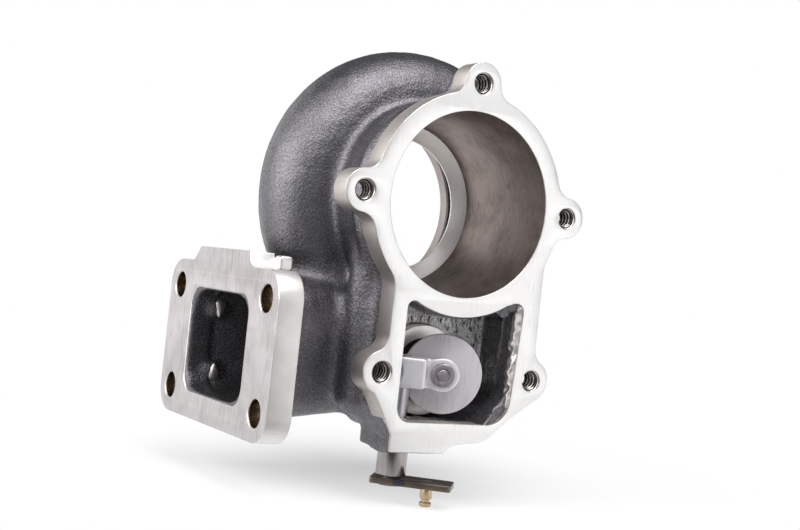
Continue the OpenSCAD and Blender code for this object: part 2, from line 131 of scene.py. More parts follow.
# materials
def castIronMaterial(name, light, dark, gloss, grainDepth):
    # grey iron, sand cast and oiled: a dark grainy skin that catches the light in small specks
    material, tree = newMaterial(name)
    place = addNode(tree, "TexCoord").outputs["Object"]
    patches = addNode(tree, "TexNoise", {"Vector": place}, Scale=perMm(11), Detail=4.0, Roughness=0.6)
    grain = addNode(tree, "TexNoise", {"Vector": place}, Scale=perMm(0.9), Detail=5.0, Roughness=0.75)
    sand = addNode(tree, "TexVoronoi", {"Vector": place}, Scale=perMm(1.0), feature="SMOOTH_F1",
                   Smoothness=0.5)
    weak = addNode(tree, "Math", {0: patches}, in1=0.35, operation="MULTIPLY")
    both = addNode(tree, "Math", {0: weak, 1: grain}, operation="ADD")
    skin = colourRamp(tree, both, [(0.5, dark), (0.85, light)])
    # inside the wastegate chamber the skin gets bright upright streaks: partly a streaky pattern, and partly
    # painted light, whose pale to white tone stands in for light falling into the chamber
    parts = addNode(tree, "SeparateXYZ", {0: place})
    inside = None
    for axis, start, end in streakZone:
        share = addNode(tree, "MapRange", {"Value": parts.outputs[axis]},
                        From_Min=start * mm, From_Max=end * mm)
        inside = addNode(tree, "Math", {0: inside, 1: share}, operation="MULTIPLY") if inside else share
    streaksAt = addNode(tree, "Mapping", {"Vector": place}, Scale=(perMm(1.1), perMm(1.1), perMm(3.5)))
    streaks = addNode(tree, "TexNoise", {"Vector": streaksAt}, Scale=1.0, Detail=5.0, Roughness=0.75)
    # painted light: the pale and white streaks stand in for light reaching the chamber's walls
    streaksWithPaintedLight = colourRamp(tree, streaks, [(0.4, "#1d1a1a"), (0.46, "#b5aeab"), (0.52, "#ffffff")])
    colour = addNode(tree, "Mix", {"Factor": inside, 6: skin, 7: streaksWithPaintedLight}, data_type="RGBA")
    shine = addNode(tree, "MapRange", {"Value": grain}, From_Min=0.35, From_Max=0.65,
                    To_Min=gloss + 0.1, To_Max=gloss - 0.08)
    deep = addNode(tree, "Bump", {"Height": sand}, Strength=grainDepth * 0.6, Distance=0.0004)
    fine = addNode(tree, "Bump", {"Height": grain, "Normal": deep}, Strength=grainDepth, Distance=0.0006)
    chamberMetal = addNode(tree, "MapRange", {"Value": inside}, To_Min=0.85, To_Max=0.3)
    return finishMaterial(material, addNode(tree, "BsdfPrincipled", {
        "Base Color": colour.outputs[2], "Roughness": shine, "Normal": fine, "Metallic": chamberMetal}))


def plainMetal(name, colour, gloss):
    # bare metal of one colour, for places that only catch reflections
    material, tree = newMaterial(name)
    return finishMaterial(material, addNode(
        tree, "BsdfPrincipled", Base_Color=toLinear(colour), Metallic=1.0, Roughness=gloss))


def machinedMaterial(name, light, dark, gloss, markAxis=1, markWidth=0.4, stain=0.0, side=None, metal=1.0):
    # cut iron or steel: bright, with fine tool marks across one axis and faint stains;
    # side holds the dark and the light colour of a band and the axis that the face looks along
    material, tree = newMaterial(name)
    place = addNode(tree, "TexCoord").outputs["Object"]
    stretch = [perMm(markWidth) * (0.06 if axis != markAxis else 1.0) for axis in range(3)]
    marksAt = addNode(tree, "Mapping", {"Vector": place}, Scale=stretch)
    marks = addNode(tree, "TexNoise", {"Vector": marksAt}, Scale=1.0, Detail=3.0, Roughness=0.6)
    clouds = addNode(tree, "TexNoise", {"Vector": place}, Scale=perMm(14), Detail=5.0, Roughness=0.62)
    specks = addNode(tree, "TexNoise", {"Vector": place}, Scale=perMm(0.8), Detail=2.0, Roughness=0.6)
    blend = addNode(tree, "Math", {0: clouds, 1: marks}, operation="ADD")
    half = addNode(tree, "Math", {0: blend}, in1=0.5, operation="MULTIPLY")
    colour = colourRamp(tree, half, [(0.32, dark), (0.5 + stain, light), (1.0, light)])
    shine = addNode(tree, "MapRange", {"Value": specks}, From_Min=0.3, From_Max=0.7,
                    To_Min=gloss - 0.02, To_Max=gloss + 0.04)
    bump = addNode(tree, "Bump", {"Height": marks}, Strength=0.25, Distance=0.0001)
    if side:
        # what doesn't look along faceAxis is the ground side band
        sideDark, sideLight, faceAxis = side
        normal = addNode(tree, "NewGeometry").outputs["Normal"]
        parts = addNode(tree, "SeparateXYZ", {0: normal})
        facing = addNode(tree, "Math", {0: parts.outputs[faceAxis]}, operation="ABSOLUTE")
        share = addNode(tree, "MapRange", {"Value": facing}, From_Min=0.5, From_Max=0.95)
        band = colourRamp(tree, half, [(0.3, sideDark), (0.6, sideLight)])
        colour = addNode(tree, "Mix", {"Factor": share, 6: band, 7: colour}, data_type="RGBA").outputs[2]
        shine = addNode(tree, "Mix", {0: share, 3: shine}, in2=0.5)
    return finishMaterial(material, addNode(tree, "BsdfPrincipled", {
        "Base Color": colour, "Roughness": shine, "Normal": bump}, Metallic=metal))


def tintedMaterial(name, around, reach):
    # steel tinted by welding heat: blue near the bush, then brown, then a dull dark bronze
    material, tree = newMaterial(name)
    place = addNode(tree, "TexCoord").outputs["Object"]
    away = addNode(tree, "VectorMath", {0: place}, in1=[v * mm for v in around], operation="DISTANCE")
    noise = addNode(tree, "TexNoise", {"Vector": place}, Scale=perMm(4), Detail=4.0)
    spread = addNode(tree, "MapRange", {"Value": away.outputs["Value"]}, From_Min=mm, From_Max=reach * mm)
    shift = addNode(tree, "Math", {0: noise}, in1=0.3, operation="MULTIPLY")
    level = addNode(tree, "Math", {0: spread, 1: shift}, operation="ADD")
    colour = colourRamp(tree, level, [(0.1, "#46557a"), (0.2, "#554a50"), (0.3, "#6d6258"),
                                      (0.75, "#685c52"), (1.0, "#7b7064")])
    bump = addNode(tree, "Bump", {"Height": noise}, Strength=0.3, Distance=0.0002)
    return finishMaterial(material, addNode(tree, "BsdfPrincipled", {"Base Color": colour, "Normal": bump},
                                            Metallic=1.0, Roughness=0.3))


finishes = {
    "castSkin": castIronMaterial("sand cast grey iron", "#79777b", "#59575b", 0.26, 0.42),
    "milled": machinedMaterial("milled iron face", "#f2f1f0", "#e4e2e1", 0.3, 0, 0.5,
                               side=("#bab3ad", "#c9c3be", 1)),
    "groundPlate": machinedMaterial("ground iron plate", "#cac6c7", "#a39b97", 0.3, 1, 0.6, 0.05,
                                    ("#e0dcd9", "#f2f0ee", 0)),
    "bored": machinedMaterial("bored iron", "#a69a95", "#685d59", 0.36, 1, 0.3, 0.06),
    "threadCut": plainMetal("tapped iron thread", "#4b423b", 0.25),
    "brokenEdge": machinedMaterial("broken cast edge", "#dfdad7", "#9b9591", 0.42),
    "holeWall": machinedMaterial("drilled iron", "#94826f", "#5c4d42", 0.26),
    "turned": machinedMaterial("turned iron seat", "#efecea", "#cdc8c4", 0.38),
    "coneIron": machinedMaterial("turned iron cone", "#fffbf8", "#f5efeb", 0.44),
    "registerIron": machinedMaterial("turned iron register", "#aaa29f", "#8a827e", 0.42),
    "seatIron": machinedMaterial("ground iron valve seat", "#fbf7f4", "#efe9e5", 0.42),
    "valveSteel": machinedMaterial("blasted valve steel", "#d9d5da", "#bcb7bc", 0.5, 1, 0.5, metal=0.7),
    "armSteel": machinedMaterial("investment cast steel", "#ebe9ec", "#d2cfd4", 0.45, 1, 0.9, metal=0.7),
    "washerSteel": machinedMaterial("washer steel", "#b8b0b7", "#978f96", 0.4, 1, 0.5),
    "polished": machinedMaterial("polished steel", "#a8a4a2", "#8a8684", 0.14, 0, 0.7),
    "shaftSteel": machinedMaterial("satin shaft steel", "#b8b7ba", "#98969a", 0.3, 0, 0.7),
    "tinted": tintedMaterial("heat tinted steel", (-16.3, 5.9, -109.6), 14),
    "bead": machinedMaterial("weld bead", "#7b7f92", "#5c5347", 0.3, 2, 0.8),
    "plated": machinedMaterial("yellow plated pin", "#c9b394", "#8f7a5a", 0.13, 2, 0.5),
}
print("materials are made")


# helpers for meshes
xAxis, yAxis, zAxis = (1, 0, 0), (0, 1, 0), (0, 0, 1)
alongBore = ((0, 0, 0), yAxis, xAxis)


def meshObject(name, points, faces, finish, slot, body="housing"):
    mesh = bpy.data.meshes.new(name)
    faces = np.asarray(outwardFaces(points, faces), dtype=np.int32)
    points = np.asarray(points, dtype=np.float32).reshape(-1, 3)
    mesh.vertices.add(len(points))
    mesh.vertices.foreach_set("co", (points * mm).ravel())
    mesh.loops.add(faces.size)
    mesh.loops.foreach_set("vertex_index", faces.ravel())
    mesh.polygons.add(len(faces))
    mesh.polygons.foreach_set("loop_start", np.arange(len(faces), dtype=np.int32) * 4)
    mesh.polygons.foreach_set("use_smooth", np.full(len(faces), True))
    mesh.update(calc_edges=True)
    mesh.validate()
    return dressPiece(newObject(name, mesh), finish, body)


def dressPiece(item, finish, body):
    # the piece gets its finish and the body it moves with
    item.data.materials.clear()
    item.data.materials.append(finishes[finish])
    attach(item, body)
    return item


def gridFaces(rows, columns):
    # quads between neighbours of a grid, also from the last row or column back to the first
    r, c = np.meshgrid(np.arange(rows), np.arange(columns), indexing="ij")
    r2, c2 = (r + 1) % rows, (c + 1) % columns
    corners = [r * columns + c, r * columns + c2, r2 * columns + c2, r2 * columns + c]
    return np.stack(corners, -1).reshape(-1, 4)


def unit(vectors):
    return vectors / np.linalg.norm(vectors, axis=1, keepdims=True)


def roundCorners(corners, steps):
    # each corner (u, v, radius) of a closed profile becomes an arc that touches both its sides
    corners = np.asarray(corners, dtype=float)
    here, radius = corners[:, :2], corners[:, 2:3]
    back, ahead = unit(np.roll(here, 1, 0) - here), unit(np.roll(here, -1, 0) - here)
    half = np.arccos(np.clip((back * ahead).sum(1, keepdims=True), -1, 1)) / 2
    centre = here + unit(back + ahead) * radius / np.sin(half)
    start, end = (here + side * radius / np.tan(half) - centre for side in (back, ahead))
    a = np.arctan2(start[:, 1], start[:, 0])
    sweep = (np.arctan2(end[:, 1], end[:, 0]) - a + 3 * np.pi) % (2 * np.pi) - np.pi
    t = np.linspace(0, 1, steps)
    angle = a[:, None] + sweep[:, None] * t
    size = np.linalg.norm(start, axis=1)[:, None]
    arcs = [centre[:, :1] + size * np.cos(angle), centre[:, 1:] + size * np.sin(angle)]
    return np.stack(arcs, -1).reshape(-1, 2)


def outwardFaces(points, faces):
    # the signed volume of the closed shape says whether its quads point outwards
    a, b, c, d = (np.asarray(points).reshape(-1, 3)[faces[:, i]] for i in range(4))
    volume = (a * np.cross(b, c)).sum() + (a * np.cross(c, d)).sum()
    return faces if volume > 0 else faces[:, ::-1]


def spunPiece(name, corners, count, place, finish, slot, body="housing", steps=5):
    # a closed profile of (radius, along, rounding) turned about an axis; points on the axis are merged;
    # place holds a point of the axis, the axis and a direction across it
    profile = roundCorners(corners, steps)
    profile[:, 0] = np.maximum(profile[:, 0], 0)
    # point = origin + axis * along + radius * (cos(a) * across + sin(a) * the direction square to both)
    origin, axis, across = (np.asarray(v, float) for v in place)
    a = np.arange(count) * 2 * np.pi / count
    ring = np.cos(a)[:, None] * across + np.sin(a)[:, None] * np.cross(axis, across)
    points = origin + profile[None, :, 1:2] * axis + profile[None, :, :1] * ring[:, None, :]
    item = meshObject(name, points, gridFaces(count, len(profile)), finish, slot, body)
    mergePoints(item)
    return item


def changeMesh(mesh, *changes):
    # each change is a function of the open shape
    shape = bmesh.new()
    shape.from_mesh(mesh)
    for change in changes:
        change(shape)
    shape.to_mesh(mesh)
    shape.free()


def mergeDoubles(shape):
    bmesh.ops.remove_doubles(shape, verts=shape.verts, dist=2e-6)


def mergePoints(item):
    changeMesh(item.data, mergeDoubles,
               lambda shape: bmesh.ops.dissolve_degenerate(shape, edges=shape.edges, dist=1e-6))
    sharpByAngle(item, 35)


def sharpByAngle(item, degrees):
    item.data.polygons.foreach_set("use_smooth", np.full(len(item.data.polygons), True))
    item.data.set_sharp_from_angle(angle=math.radians(degrees))


# the cast body as a distance field
castBody = {
    "field": ((-78, -2, -101.5), (78, 95, 68), 1.15),       # the field's box and the size of its cells
    "skin": 0.2, "lump": 0.07, "lumpSize": 7.0,     # how far the skin stays inside the solid, and its waves
    "scrollY": 57.5, "startR": 87.5, "endR": 62.5, "power": 3.4, "tubeStart": 29.0, "tubeEnd": 18.5,
    "tubePower": 1.3, "wall": 5.0, "outerTurn": 336, "innerTurn": 312, "closing": 0.9,
    "inletY": 58.4, "inletZ": -65.5, "neckX": 65.5, "portW": 57.0, "portH": 43.3, "neckWall": 6.0,
    "inletEnd": -66.0, "ductR": 41.2, "ring": (2.1, 17.0, 3.2), "ductEnd": 59.4, "boreR": 39.2,
    "chamberEnd": 32.5, "chamberBack": 54, "taper": 7, "taperLength": 20, "cavityDepth": 29.8,
    "ridge": ((-30.5, 24, -26), (-31.5, 21, -80), 6.2),     # a rib down the chamber's left side
    "foot": (-12.3, 13.5), "footZ": (-88, 9.8), "footBack": 24.0, "sag": (1.4, 9, 6), "wedgeBack": 16,
    "collar": (53.2, 58, 72), "front": 9.6, "frontStep": 9.1, "stepAt": (-1.0, -78.5), "stepOver": 1.5,
    "archR": 44.5, "cavityLiner": 2.2, "cavityLinerTo": 12, "portLiner": 2.0, "portLinerX": (-75.7, -64),
    "torn": (0.35, 2.1, 0.7), "tornX": (18, 5), "portInset": 5.5, "portFrom": -65.5,
    "bumps": (-52.2, -79.3), "bumpAt": (-64, 88), "bumpRadii": (6, 4.2, 4.5),
    "narrow": 4.2, "narrowTo": (17, 5), "draft": 0.01, "unevenness": 0.35, "evenTo": 6,
    "pocketIn": 0.4, "pocketTo": 31, "tornSize": 4.0,
    "seat": (1.3, -67.7), "seatR": 18.7, "seatY": (29, 3.4), "portR": 13.0, "portY": (42, 14),
    "bush": (-15.1, 14.0), "bushR": 6.1, "bushTop": -84, "bearingR": 54.2, "bearingY": 70.0,
}


def softMin(a, b, k):
    # the smaller of two distances, rounded where they are within k of each other
    h = np.clip(0.5 + 0.5 * (b - a) / k, 0, 1)
    return b * (1 - h) + a * h - k * h * (1 - h)


def softMax(a, b, k):
    return -softMin(-a, -b, k)


def convexField(x, z, corners, k):
    # distance from a convex outline: the largest of the distances from its sides, rounded by k
    corners = np.asarray(corners, float)
    nextCorners = np.roll(corners, -1, 0)
    field = None
    for (x0, z0), (x1, z1) in zip(corners, nextCorners):
        length = math.hypot(x1 - x0, z1 - z0)
        side = ((x - x0) * (z1 - z0) - (z - z0) * (x1 - x0)) / length
        field = side if field is None else softMax(field, side, k)
    return field


def scrollField(x, y, z, inset, endTurn):
    # distance from a tube whose middle lies at outer - tube from the axis; both shrink as the turn grows
    c = castBody
    turn = np.degrees(np.arctan2(x, -z)) % 360
    left = 1 - turn / 360
    outer = c["endR"] + (c["startR"] - c["endR"]) * left ** c["power"]
    tube = c["tubeEnd"] + (c["tubeStart"] - c["tubeEnd"]) * left ** c["tubePower"]
    fromMiddle = np.hypot(np.hypot(x, z) - (outer - tube), y - c["scrollY"])
    return fromMiddle - (tube - inset) + np.maximum(turn - endTurn, 0) * c["closing"]


def neckField(x, y, z, inset):
    # a section that changes from a rounded oblong at the inlet flange to a circle at the scroll's start
    c = castBody
    share = np.clip(1 + x / c["neckX"], 0, 1)
    wall = c["neckWall"] * (1 - share) + c["wall"] * share
    take = inset / c["wall"] * wall
    width = (1 - share) * (c["portW"] / 2 + c["neckWall"]) + share * c["tubeStart"] - take
    height = (1 - share) * (c["portH"] / 2 + c["neckWall"]) + share * c["tubeStart"] - take
    middleY = (1 - share) * c["inletY"] + share * c["scrollY"]
    middleZ = (1 - share) * c["inletZ"] - share * (c["startR"] - c["tubeStart"])
    power = 5 - 3 * share
    across, up = np.abs((y - middleY) / width), np.abs((z - middleZ) / height)
    return ((across ** power + up ** power) ** (1 / power) - 1) * np.minimum(width, height)


def gasField(x, y, z, inset, endTurn, blend):
    # neck and scroll as one; their fields only soften into each other away from where one becomes the other
    winding = scrollField(x, y, z, inset, endTurn)
    neck = np.where(x < 0, neckField(x, y, z, inset), winding)
    upper = np.where((x < 0) & (z < 0) & (np.degrees(np.arctan2(x, -z)) % 360 < 180), 60.0, winding)
    k = 0.05 + blend * np.clip(-x / 14, 0, 1)
    return np.where(x < 0, softMin(neck, upper, k), winding)


def waveField(x, y, z, size, seed):
    # a sum of sine waves in fixed directions, as uneven as a sand mould's face
    directions = np.random.default_rng(seed).normal(size=(9, 3))
    phases = np.random.default_rng(seed + 1).uniform(0, 6.28, 9)
    total = 0
    for direction, phase in zip(directions, phases):
        direction = direction / np.linalg.norm(direction) * 2 * math.pi / size
        total = total + np.sin(x * direction[0] + y * direction[1] + z * direction[2] + phase)
    return total / 4


def capsuleField(x, y, z, start, end, radius):
    # distance from a straight rod with round ends
    start, end = np.asarray(start, float), np.asarray(end, float)
    along = end - start
    away = [v - s for v, s in zip((x, y, z), start)]
    t = np.clip(sum(v * a for v, a in zip(away, along)) / (along @ along), 0, 1)
    return np.sqrt(sum((v - t * a) ** 2 for v, a in zip(away, along))) - radius


# sections of the chamber, its inside and the wedge below it, as corners (x, z)
chamberOutline = [(-30.2, -12), (-30.2, -83), (-26.4, -91.5), (17.4, -91.2), (36.2, -77), (38.0, -12)]
cavityOutline = [(-23.4, -30), (-23.4, -87.0), (19.5, -87.0), (32.6, -78.5), (35.0, -30)]
wedgeOutline = [(-31.3, -77), (-31.3, -80.6), (-25.6, -91.2), (0, -91.2), (0, -77)]


def castField(x, y, z):
    # negative inside the iron: outer forms joined softly, less the passages, bores and the chamber;
    # the last number of each softMin, softMax and convexField is a rounding in mm
    c = castBody
    round2d = np.hypot(x, z)
    outside = gasField(x, y, z, 0, c["outerTurn"], 9.0)
    taper = np.clip((y - c["chamberEnd"]) / c["taperLength"], 0, 1) * c["taper"]
    chamber = softMax(convexField(x, z, chamberOutline, 5.0) + taper, y - c["chamberBack"], 4.0)
    rise, ringY, ringWidth = c["ring"]
    ductR = c["ductR"] + rise * np.exp(-((y - ringY) / ringWidth) ** 2)
    duct = softMax(round2d - ductR, y - c["ductEnd"], 3.0)
    outside = softMin(outside, softMin(chamber, duct, 6.0), 4.5)
    outside = softMin(outside, capsuleField(x, y, z, *c["ridge"]), 7.0)
    drop, sagY, sagWidth = c["sag"]
    sag = drop * np.exp(-((y - sagY) / sagWidth) ** 2)
    (footX, halfW), (footZ, halfH) = c["foot"], c["footZ"]
    boss = softMax(np.abs(x - footX) - halfW, np.abs(z - footZ) - halfH - sag, 0.8)
    boss = softMax(boss, y - c["footBack"], 1.2)
    wedge = softMax(convexField(x, z, wedgeOutline, 0.8), y - c["wedgeBack"], 3.0)
    outside = softMin(outside, softMin(boss, wedge, 0.8), 1.5)
    collarR, collarFrom, collarTo = c["collar"]
    collar = softMax(round2d - collarR, y - collarTo, 2.0)
    outside = softMin(outside, softMax(collar, collarFrom - y, 2.0), 6.0)
    outside = outside + c["skin"] + c["lump"] * waveField(x, y, z, c["lumpSize"], 3)
    outside = softMax(outside, c["inletEnd"] - x, 0.6)
    # the skin starts behind the flange's plate, but on the foot's left it runs up to the milled face
    stepX, stepZ = c["stepAt"]
    below, beside = ((at - v) / c["stepOver"] for at, v in ((stepZ, z), (stepX, x)))
    front = c["front"] - c["frontStep"] * np.clip(below, 0, 1) * np.clip(beside, 0, 1)
    field = softMax(outside, front - y, 0.3)
    # liners that carry the cast surface through the flanges
    cavity = convexField(x, z, cavityOutline, 4.0)
    cavity = softMax(cavity, c["archR"] - np.hypot(x, z), 2.5)
    rightWall = np.clip((x - c["tornX"][0]) / c["tornX"][1], 0, 1)
    edge, torn, tornWave = c["torn"]
    ragged = edge + rightWall * (torn + tornWave * waveField(x, y, z, c["tornSize"], 21))
    cavityLiner = softMax(np.maximum(cavity - c["cavityLiner"], ragged - y), y - c["cavityLinerTo"], 0.5)
    port = neckField(np.minimum(x, c["portFrom"]), y, z, c["portInset"])
    linerFrom, linerTo = c["portLinerX"]
    portLiner = np.maximum(np.maximum(port - c["portLiner"], linerFrom - x), x - linerTo)
    field = np.minimum(field, np.minimum(cavityLiner, portLiner))
    # what is empty
    passage = gasField(x, y, z, c["wall"], c["innerTurn"], 4.0)
    passage = np.where(x < c["portFrom"], port, passage)
    (bumpX, bumpY), (rx, ry, rz) = c["bumpAt"], c["bumpRadii"]
    for bumpZ in c["bumps"]:
        bump = np.sqrt(((x - bumpX) / rx) ** 2 + ((y - bumpY) / ry) ** 2 + ((z - bumpZ) / rz) ** 2) - 1
        passage = softMax(passage, -bump * ry, 1.5)
    wave = c["unevenness"] * waveField(x, y, z, 9.0, 11)
    # the right wall stands further out behind the flange
    narrow = c["narrow"] * np.clip((c["narrowTo"][0] - y) / c["narrowTo"][1], 0, 1) * rightWall
    pocket = softMax(cavity + c["pocketIn"] + c["draft"] * y + narrow, y - c["cavityDepth"], 1.5)
    pocket = pocket + np.clip(y / c["evenTo"], 0, 1) * wave
    field = np.maximum(field, -passage)
    field = np.maximum(field, -np.where(y < c["pocketTo"], pocket, 0.5))
    field = np.maximum(field, c["boreR"] - round2d)
    field = np.maximum(field, -np.maximum(round2d - c["bearingR"], c["bearingY"] - y))
    fromSeat = np.hypot(x - c["seat"][0], z - c["seat"][1])
    for radius, (middle, half) in ((c["seatR"], c["seatY"]), (c["portR"], c["portY"])):
        field = np.maximum(field, -np.maximum(fromSeat - radius, np.abs(y - middle) - half))
    bush = np.hypot(x - c["bush"][0], y - c["bush"][1])
    return np.maximum(field, -np.maximum(bush - c["bushR"], z - c["bushTop"]))


def surfaceOf(fieldFunction, low, high, step):
    # surface nets: one point for each cell that the surface crosses, at the mean of its edges' crossings,
    # and one quad for each grid edge that changes sign
    axes = [np.arange(a, b + step, step, dtype=np.float32) for a, b in zip(low, high)]
    x, y, z = np.meshgrid(*axes, indexing="ij", sparse=True)
    field = fieldFunction(x, y, z).astype(np.float32)
    shape = np.array(field.shape)
    inside = field < 0
    cells = tuple(shape - 1)
    total, count = np.zeros(cells + (3,), np.float32), np.zeros(cells, np.float32)
    crossings = []
    for axis in range(3):
        here, ahead = [slice(None)] * 3, [slice(None)] * 3
        here[axis], ahead[axis] = slice(0, -1), slice(1, None)
        fa, fb = field[tuple(here)], field[tuple(ahead)]
        change = inside[tuple(here)] != inside[tuple(ahead)]
        t = np.where(change, fa / np.where(change, fa - fb, 1), 0)
        crossings.append(change)
        first, second = (other for other in range(3) if other != axis)
        for i, j in ((0, 0), (0, 1), (1, 0), (1, 1)):
            cut = [slice(None)] * 3
            cut[first], cut[second] = slice(i, cells[first] + i), slice(j, cells[second] + j)
            hit = change[tuple(cut)]
            count += hit
            total[..., axis] += hit * t[tuple(cut)]
            total[..., first] += hit * i
            total[..., second] += hit * j
    active = count > 0
    index = np.full(cells, -1, np.int64)
    index[active] = np.arange(active.sum())
    local = total[active] / count[active][:, None]
    points = np.array(low, np.float32) + (np.argwhere(active) + local) * step
    quads = []
    for axis in range(3):
        first, second = [(1, 2), (2, 0), (0, 1)][axis]
        spots = np.argwhere(crossings[axis])
        pair = spots[:, [first, second]]
        spots = spots[np.all((pair > 0) & (pair < shape[[first, second]] - 1), axis=1)]
        ring = []
        for i, j in ((1, 1), (0, 1), (0, 0), (1, 0)):
            cell = spots.copy()
            cell[:, first] -= i
            cell[:, second] -= j
            ring.append(index[tuple(cell.T)])
        quad = np.stack(ring, -1)
        quads.append(np.where(inside[tuple(spots.T)][:, None], quad, quad[:, ::-1]))
    return points, np.concatenate(quads)


def fieldPiece(name, fieldFunction, low, high, step, finish, slot):
    return meshObject(name, *surfaceOf(fieldFunction, low, high, step), finish, slot)


# the opening of the chamber in the milled face: corners with their radii, then its upper ends and arch
chamberMouth = {
    "corners": [(-23.8, -30, 0.001), (-23.8, -86, 6), (28.4, -86, 10), (31, -30, 0.001)],
    "rightEnd": [(30.9, -40.6), (30.6, -38.7), (29.6, -37.4), (27.9, -36.7), (25.9, -36.9)],
    "leftEnd": [(-20.6, -39.3), (-21.5, -39.3), (-22.4, -39.6), (-23.2, -40.3), (-23.65, -41.2),
                (-23.8, -42.3)],
    "archR": 44.2, "archDegrees": (-59.5, -116.9),
    "edgeDepth": 4.5, "edgeWidth": 1.2, "edgeFrom": 19.5, "edgeBottom": -79, "edgeArchR": 45.2,
    "edgeOver": 0.5, "edgeLean": 0.9, "edgeSlope": 0.7,
    # height, size and seed of the waves on the edge and of the one in its width
    "edgeWaves": [(0.3, 4.0, 31), (0.12, 1.8, 41)], "widthWave": (0.7, 9.0, 51),
}


def lipField(x, y, z):
    # the right wall's mouth: a broken edge that slopes from the milled face into the chamber
    m = chamberMouth
    cavity = convexField(x, z, [corner[:2] for corner in m["corners"]], 2.0)
    rough = sum(height * waveField(x, y, z, size, seed) for height, size, seed in m["edgeWaves"])
    height, size, seed = m["widthWave"]
    width = m["edgeWidth"] + height * waveField(x * 0, y * 0, z, size, seed) + rough
    over = m["edgeOver"]
    slope = (over - m["edgeLean"] * cavity - y) * m["edgeSlope"] + over * rough
    field = np.maximum(np.maximum(slope, y - m["edgeDepth"]), np.maximum(-width - cavity, cavity - over))
    ends = np.maximum(m["edgeFrom"] - x, m["edgeArchR"] - np.hypot(x, z))
    return np.maximum(np.maximum(field, m["edgeBottom"] - z), ends)


casting = fieldPiece("cast_body", castField, *castBody["field"], "castSkin", "cast_iron")
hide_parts("scroll_casing", "wastegate_chamber")
fieldPiece("mouth_edge", lipField, (17, -1, -90), (33, 6, -34), 0.4, "brokenEdge", "cast_iron")
print("cast body is made:", len(casting.data.polygons), "faces")


# flanges as filled outlines
def onCircle(centre, radius, a):
    return np.stack([centre[0] + radius * np.cos(a), centre[1] + radius * np.sin(a)], -1)


def arcPoints(centre, radius, start, end, turn, spacing=1.2):
    # points on a circle from one angle to another, turning left (1) or right (-1)
    a0, a1 = (math.atan2(p[1] - centre[1], p[0] - centre[0]) for p in (start, end))
    sweep = (a1 - a0) * turn % (2 * math.pi)
    steps = max(4, int(sweep * radius / spacing) + 1)
    return onCircle(centre, radius, a0 + turn * np.linspace(0, sweep, steps))


def touchPoint(a, radiusA, b, radiusB):
    # where two circles that touch from outside meet
    a, b = np.asarray(a, float), np.asarray(b, float)
    return a + (b - a) * radiusA / (radiusA + radiusB)


outletFlange = {
    "thickness": 10.0, "bevel": 0.3, "ringR": 44.0, "lugR": 8.3, "fillet": 7.0, "reach": 47.7,
    "lowDrop": 67.4, "lowLeft": -32.2, "lowRight": 38.2, "wallLeft": -30.5, "wallRight": 38.8,
    "boreR": 36.5, "sinkR": 4.35, "wallFillet": 10.0,
    # the foot's corners with their radii, between the two lower lugs
    "foot": [(-34.6, -75.35, 0.001), (-31.5, -80.4, 3), (-25.4, -91, 2), (-25.3, -97.6, 0.6),
             (-0.4, -97.7, 0.6), (3.1, -94.2, 9), (18, -92.9, 12), (29.8, -83, 9), (41.5, -75.2, 0.001)],
    "footEnd": (41.6, -75.0),
}


def lugPlaces(f):
    reach, drop = f["reach"], -f["lowDrop"]
    return (0, reach), (-reach, 0), (reach, 0), (f["lowLeft"], drop), (f["lowRight"], drop)


def outletOutline(f):
    # the ring, lugs and walls are a chain of arcs, each touching the next; the foot is a rounded outline
    ring, lug, fillet, wallFillet = (f[key] for key in ("ringR", "lugR", "fillet", "wallFillet"))

    def besideLug(hole, side):
        reach = math.hypot(*hole)
        a, b = ring + fillet, lug + fillet
        along = (a * a - b * b + reach * reach) / (2 * reach)
        across = side * math.sqrt(a * a - along * along)
        u = np.asarray(hole) / reach
        return along * u + across * np.array([-u[1], u[0]])

    def atWall(wall, side):
        x = wall + side * wallFillet
        return np.array([x, -math.sqrt((ring + wallFillet) ** 2 - x * x)])

    def aboveLug(hole, wall, side):
        x = wall + side * fillet
        return np.array([x, hole[1] + math.sqrt((lug + fillet) ** 2 - (x - hole[0]) ** 2)])

    middle = np.zeros(2)
    top, left, right, lowLeft, lowRight = lugPlaces(f)
    rightLow, rightWall = aboveLug(lowRight, f["wallRight"], 1), atWall(f["wallRight"], 1)
    leftLow, leftWall = aboveLug(lowLeft, f["wallLeft"], -1), atWall(f["wallLeft"], -1)
    # anticlockwise from the right wall: each entry is centre, radius, turn (1 outside arc, -1 fillet)
    circles = [(rightWall, wallFillet, -1), (middle, ring, 1)]
    for hole in (right, top, left):
        circles += [(besideLug(hole, -1), fillet, -1), (np.array(hole, float), lug, 1),
                    (besideLug(hole, 1), fillet, -1), (middle, ring, 1)]
    circles += [(leftWall, wallFillet, -1)]
    chain, start = [], np.array([f["wallRight"], rightWall[1]])
    for i, (centre, radius, turn) in enumerate(circles):
        if i + 1 < len(circles):
            end = touchPoint(centre, radius, circles[i + 1][0], circles[i + 1][1])
        else:
            end = np.array([f["wallLeft"], leftWall[1]])
        chain.append(arcPoints(centre, radius, start, end, turn))
        start = end
    leftMeet = touchPoint(leftLow, fillet, lowLeft, lug)
    rightMeet = touchPoint(rightLow, fillet, lowRight, lug)
    # the foot's first and last corners are only its ends, so their arcs are left out
    foot = roundCorners(f["foot"], 8)[8:-8]
    return np.concatenate(chain + [
        arcPoints(leftLow, fillet, (f["wallLeft"], leftLow[1]), leftMeet, -1),
        arcPoints(lowLeft, lug, leftMeet, f["foot"][0], 1), foot,
        arcPoints(lowRight, lug, f["footEnd"], rightMeet, 1),
        arcPoints(rightLow, fillet, rightMeet, (f["wallRight"], rightLow[1]), -1)])


def circlePoints(centre, radius, count):
    return onCircle(centre, radius, np.linspace(0, 2 * np.pi, count, endpoint=False))


